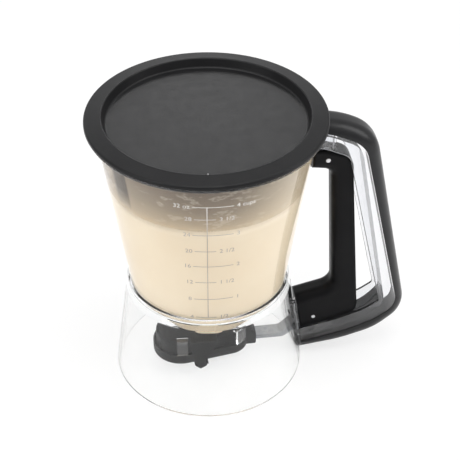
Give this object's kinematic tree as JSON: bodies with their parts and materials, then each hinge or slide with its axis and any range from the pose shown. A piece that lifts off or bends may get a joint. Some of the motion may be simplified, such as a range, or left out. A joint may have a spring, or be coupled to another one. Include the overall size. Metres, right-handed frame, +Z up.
{
  "type": "pancake batter dispenser",
  "caption": "Clear conical batter container on a clear skirt, with a lift-off lid and a trigger handle that slides the outlet gate open.",
  "frame": {"origin": "axis of the round container where it meets the table, centre of the skirt's foot ring", "axes": "+Z up along the container's axis, +X from the axis towards the handle, the handle plane is XZ"},
  "size_m": [0.1962, 0.142, 0.1862],
  "materials": {
    "clear_container": "clear moulded plastic, polished",
    "clear_skirt": "clear moulded plastic, polished",
    "clear_handle": "clear moulded plastic, polished",
    "black_grip": "black moulded plastic, satin",
    "black_trigger": "black moulded plastic, satin",
    "steel_pin": "turned steel",
    "spring_steel": "drawn spring wire",
    "gate_plastic": "grey moulded plastic",
    "rod_plastic": "translucent grey moulded plastic",
    "valve_plastic": "dark grey moulded plastic",
    "seal_rubber": "soft moulded ring",
    "black_lid": "black moulded plastic, matte grain",
    "clear_clip": "clear moulded plastic, polished"
  },
  "bodies": {
    "stand": {"container": "clear_container", "skirt": "clear_skirt", "handle_channel": "clear_handle", "handle_grip": "black_grip", "pivot_pin": "steel_pin", "trigger_spring": "spring_steel", "housing_lower": "valve_plastic", "housing_upper": "valve_plastic", "gate_seal": "seal_rubber", "rod_guide": "valve_plastic", "outlet_nozzle": "valve_plastic", "ear_front": "valve_plastic", "ear_back": "valve_plastic", "clip_left_front": "clear_clip", "clip_left_back": "clear_clip", "clip_right_front": "clear_clip", "clip_right_back": "clear_clip"},
    "pull_trigger": {"trigger": "black_trigger", "link_pin": "steel_pin"},
    "slide_gate": {"gate": "gate_plastic", "pull_rod": "rod_plastic", "gate_peg": "gate_plastic"},
    "cover": {"lid": "black_lid", "lid_gasket": "seal_rubber"}
  },
  "joints": [
    {"name": "trigger_pull", "type": "hinge", "parent": "stand", "child": "pull_trigger", "pos_m": [0.0713, 0, 0.1512], "axis": [0, -1, 0], "range_deg": [0, 6], "stiffness_Nm_per_rad": 2, "springref_deg": -8.59},
    {"name": "gate_slide", "type": "slide", "parent": "stand", "child": "slide_gate", "axis": [1, 0, 0], "range_m": [0, 0.01275]},
    {"name": "lid_lift", "type": "slide", "parent": "stand", "child": "cover", "axis": [0, 0, 1], "range_m": [0, 0.12]}
  ],
  "couplings": [
    {"joint": "gate_slide", "follows": "trigger_pull", "m_per_rad": 0.12171}
  ]
}
